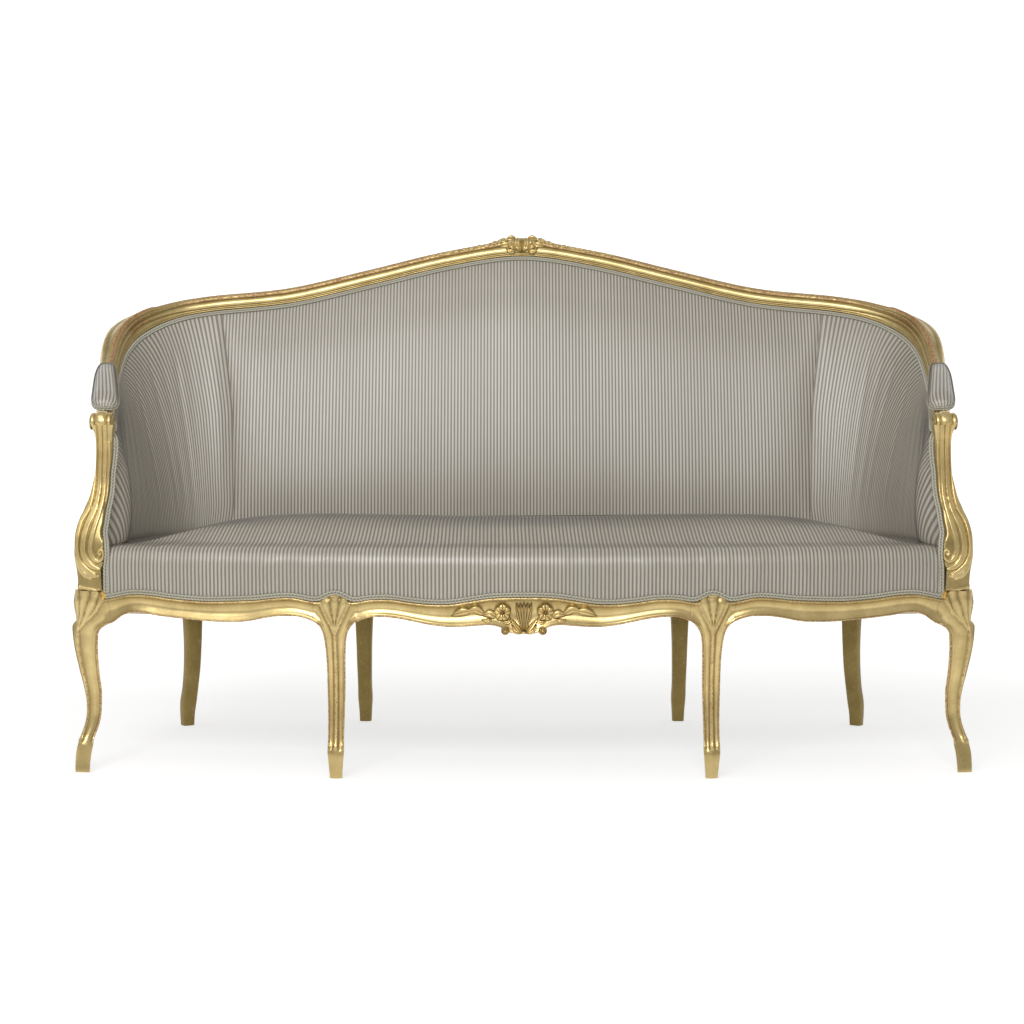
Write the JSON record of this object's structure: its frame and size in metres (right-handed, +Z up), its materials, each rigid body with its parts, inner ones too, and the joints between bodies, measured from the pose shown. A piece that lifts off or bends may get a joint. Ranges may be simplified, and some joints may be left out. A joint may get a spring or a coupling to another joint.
{
  "type": "cabriole sofa",
  "caption": "Gilt wood cabriole sofa with a serpentine carved crest, a back that wraps round into padded arms, cabriole legs and striped upholstery.",
  "frame": {"origin": "on the floor, under the middle of the sofa's bounding box", "axes": "+X to the sitter's left, along the sofa (the right side seen from the front); +Y from the front of the seat to the back; +Z up"},
  "size_m": [1.7846, 0.7815, 1.09],
  "materials": {
    "gilt_wood": "worn gold leaf over red bole on carved beech, soft sheen",
    "back_gilt_wood": "thin darker gilding on nearly plain beech",
    "beech_wood": "unfinished sawn and planed beech",
    "striped_fabric": "silk weave with narrow cream and grey-taupe stripes, soft sheen",
    "gimp_braid": "grey-green herringbone braid",
    "webbing": "jute webbing",
    "hessian": "plain hessian",
    "stuffing": "horsehair pad under calico",
    "dust_cloth": "thin dark lining cloth"
  },
  "bodies": {
    "root": {"front_mid_leg_left": "gilt_wood", "front_mid_leg_right": "gilt_wood", "front_corner_leg_left": "gilt_wood", "front_corner_leg_right": "gilt_wood", "rear_mid_post_left": "back_gilt_wood", "rear_mid_post_right": "back_gilt_wood", "rear_corner_post_left": "back_gilt_wood", "rear_corner_post_right": "back_gilt_wood", "front_rail_left": "gilt_wood", "front_rail_centre": "gilt_wood", "front_rail_right": "gilt_wood", "side_rail_left": "gilt_wood", "side_rail_right": "gilt_wood", "rear_rail_left": "back_gilt_wood", "rear_rail_centre": "back_gilt_wood", "rear_rail_right": "back_gilt_wood", "seat_stretcher_left": "beech_wood", "seat_stretcher_right": "beech_wood", "corner_blocks": "beech_wood", "frame_pegs": "beech_wood", "crest_rail": "gilt_wood", "corner_rail_left": "gilt_wood", "corner_rail_right": "gilt_wood", "arm_rail_left": "gilt_wood", "arm_rail_right": "gilt_wood", "arm_support_left": "gilt_wood", "arm_support_right": "gilt_wood", "lower_back_rail_left": "beech_wood", "lower_back_rail_centre": "beech_wood", "lower_back_rail_right": "beech_wood", "lower_wing_rail_left": "beech_wood", "lower_wing_rail_right": "beech_wood", "seat_webbing_cross": "webbing", "seat_webbing_long": "webbing", "seat_hessian": "hessian", "seat_stuffing": "stuffing", "seat_cover": "striped_fabric", "dust_cover": "dust_cloth", "back_webbing": "webbing", "back_hessian": "hessian", "back_stuffing": "stuffing", "back_cover": "striped_fabric", "outer_back_cover": "striped_fabric", "wing_hessian_left": "hessian", "wing_hessian_right": "hessian", "wing_stuffing_left": "stuffing", "wing_stuffing_right": "stuffing", "wing_cover_left": "striped_fabric", "wing_cover_right": "striped_fabric", "outer_wing_cover_left": "striped_fabric", "outer_wing_cover_right": "striped_fabric", "arm_pad_left": "striped_fabric", "arm_pad_right": "striped_fabric", "seat_gimp": "gimp_braid", "back_gimp": "gimp_braid", "arm_pad_gimp": "gimp_braid", "outer_gimp": "gimp_braid"}
  },
  "joints": []
}
